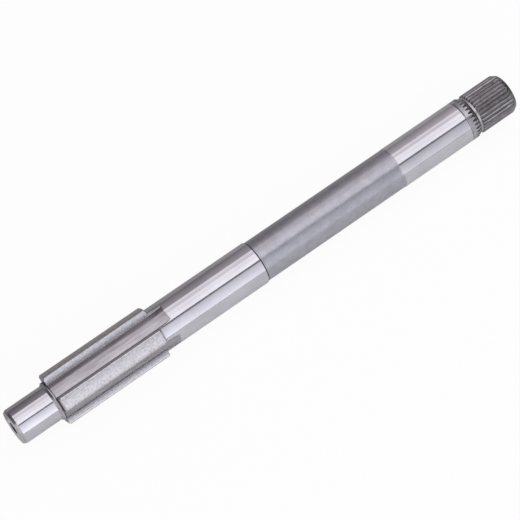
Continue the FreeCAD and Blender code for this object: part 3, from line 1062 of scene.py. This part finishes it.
def makeSoftbox(name, look):
    # a flat lamp that faces the shaft from the middle of its two angles
    middle = math.radians((look["from"] + look["to"]) / 2)
    half = math.radians((look["to"] - look["from"]) / 2)
    outward, axis = Vector((0, -math.sin(middle), math.cos(middle))), Vector((1, 0, 0))
    light = bpy.data.lights.new(name, "AREA")
    item = addObject(name, light)
    turn = Matrix((axis, outward.cross(axis), outward)).transposed().to_4x4()
    reach = studio["distance"] * math.cos(half)
    item.matrix_world = Matrix.Translation(outward * reach + axis * studio["middleX"]) @ turn
    item.visible_camera = False
    light.shape = "RECTANGLE"
    light.size = studio["length"]
    light.size_y = 2 * studio["distance"] * math.sin(half)
    light.energy = math.pi * light.size * light.size_y     # brightness 1, which the nodes scale
    light.use_nodes = True
    tree = light.node_tree
    tree.nodes.clear()
    spot = addNode(tree, "NewGeometry").outputs["Parametric"]
    parts = addNode(tree, "SeparateXYZ", Vector=spot)
    start = studio["middleX"] - studio["length"] / 2
    along = calculate(tree, "MULTIPLY_ADD", parts.outputs["X"], studio["length"], start)
    across = calculate(tree, "SUBTRACT", 1.0, parts.outputs["Y"])     # V runs against the angles
    finishTree(tree, "OutputLight", fadedLight(tree, look, across, along))


def ringPoint(look, share, x):
    # a share of the way from one angle of a card to the other
    angle = math.radians(look["from"] + (look["to"] - look["from"]) * share)
    return x, -studio["behind"] * math.sin(angle), studio["behind"] * math.cos(angle)


def cardSteps(look):
    return max(1, round((look["to"] - look["from"]) / studio["cardStep"]))


def studioEnds():
    return [studio["middleX"] + side * studio["length"] / 2 for side in (-1, 1)]


def cardFrom(name, points, faces, places, look):
    # places are X and the share of the way from one edge to the other
    mesh = bpy.data.meshes.new(name)
    mesh.from_pydata(points, [], faces)
    layer = mesh.uv_layers.new(name="place")
    for loop in mesh.loops:
        layer.data[loop.index].uv = places[loop.vertex_index]
    item = addObject(name, mesh)
    material = startMaterial(name)
    tree = material.node_tree
    parts = addNode(tree, "SeparateXYZ", Vector=addNode(tree, "TexCoord").outputs["UV"])
    shade = fadedLight(tree, look, parts.outputs["Y"], parts.outputs["X"])
    finishTree(tree, "OutputMaterial", shade)
    mesh.materials.append(material)
    for ray in ("camera", "diffuse", "shadow", "transmission", "volume_scatter"):
        setattr(item, "visible_" + ray, False)       # only reflections show it


def makeCard(name, look):
    # a card curved round the axis
    steps = cardSteps(look)
    points = [ringPoint(look, k / steps, x) for k in range(steps + 1) for x in studioEnds()]
    faces = [(2 * k, 2 * k + 1, 2 * k + 3, 2 * k + 2) for k in range(steps)]
    places = [(points[k][0], k // 2 / steps) for k in range(len(points))]
    cardFrom(name, points, faces, places, look)


def makeEndCard(name, look):
    # a card in a round sector that closes one end
    x = studioEnds()[look["end"]]
    steps = cardSteps(look)
    shares = [k / steps for k in range(steps + 1)]
    points = [(x, 0, 0)] + [ringPoint(look, share, x) for share in shares]
    places = [(x, 0.5)] + [(x, share) for share in shares]
    cardFrom(name, points, [(0, k + 1, k + 2) for k in range(steps)], places, look)


def makeFloorShade(look, height):
    # painted shadow: a card that only reflections see, standing for the floor behind the shaft in
    # the shaft's shadow
    points = [(x, y, height) for y in look["reach"] for x in studioEnds()]
    places = [(points[k][0], k // 2) for k in range(4)]
    cardFrom("floorShade", points, [(0, 1, 3, 2)], places, look)


for name, look in studio["softboxes"].items():
    makeSoftbox(name, look)
for name, look in studio["cards"].items():
    makeCard(name, look)
for name, look in studio["endCards"].items():
    makeEndCard(name, look)
makeFloorShade(studio["floorShade"], shadeHeight)


def makeWorld():
    # white where the camera or a reflection sees past everything, dimmer as light
    world = bpy.data.worlds.new("studio")
    bpy.context.scene.world = world
    world.use_nodes = True
    tree = world.node_tree
    tree.nodes.clear()
    rays = addNode(tree, "LightPath")
    seen = calculate(tree, "MAXIMUM", rays.outputs["Is Camera Ray"], rays.outputs["Is Glossy Ray"])
    seen = calculate(tree, "MAXIMUM", seen, rays.outputs["Is Transmission Ray"])
    room, white = (
        addNode(tree, "Background", Color=(1, 1, 1, 1), Strength=strength).outputs["Background"]
        for strength in (studio["roomLight"], 1.0)
    )
    mixed = addNode(tree, "MixShader", i0=seen, i1=room, i2=white).outputs["Shader"]
    finishTree(tree, "OutputWorld", mixed)


makeWorld()
print("studio", len(studio["softboxes"]), "softboxes", len(studio["cards"]), "cards")


view = {
    "lens": 180.0,
    "sensor": 36.0,
    "distance": 935.25,
    "aimX": 91.75,                 # on the axis, in the picture's middle
    "aimAside": 0.18,
    "lean": 14.0,                  # the plain end is nearer
    "side": 25.4,                  # round the axis, from +Z towards -Y
    "climb": 34.41,                # of the axis in the picture
    "clip": (0.01, 20.0),          # metres
}


def makeCamera(v):
    lean, side, climb = (math.radians(v[k]) for k in ("lean", "side", "climb"))
    sinLean, cosLean = math.sin(lean), math.cos(lean)
    sinSide, cosSide = math.sin(side), math.cos(side)
    toward = Vector((-sinLean, -cosLean * sinSide, cosLean * cosSide))
    along = Vector((cosLean, -sinLean * sinSide, sinLean * cosSide))
    aside = Vector((0, -cosSide, -sinSide))
    right = math.cos(climb) * along + math.sin(climb) * aside
    up = math.sin(climb) * along - math.cos(climb) * aside
    data = bpy.data.cameras.new("pictureCamera")
    camera = addObject("pictureCamera", data)
    data.lens, data.sensor_width = v["lens"], v["sensor"]
    data.clip_start, data.clip_end = v["clip"]
    aim = Vector((v["aimX"], 0, 0)) + aside * v["aimAside"]
    place = Matrix((right, up, toward)).transposed().to_4x4()
    place.translation = (aim + toward * v["distance"]) * millimetre
    camera.matrix_world = place
    bpy.context.scene.camera = camera


makeCamera(view)
bpy.context.scene.view_settings.view_transform = "Standard"
print("camera set")
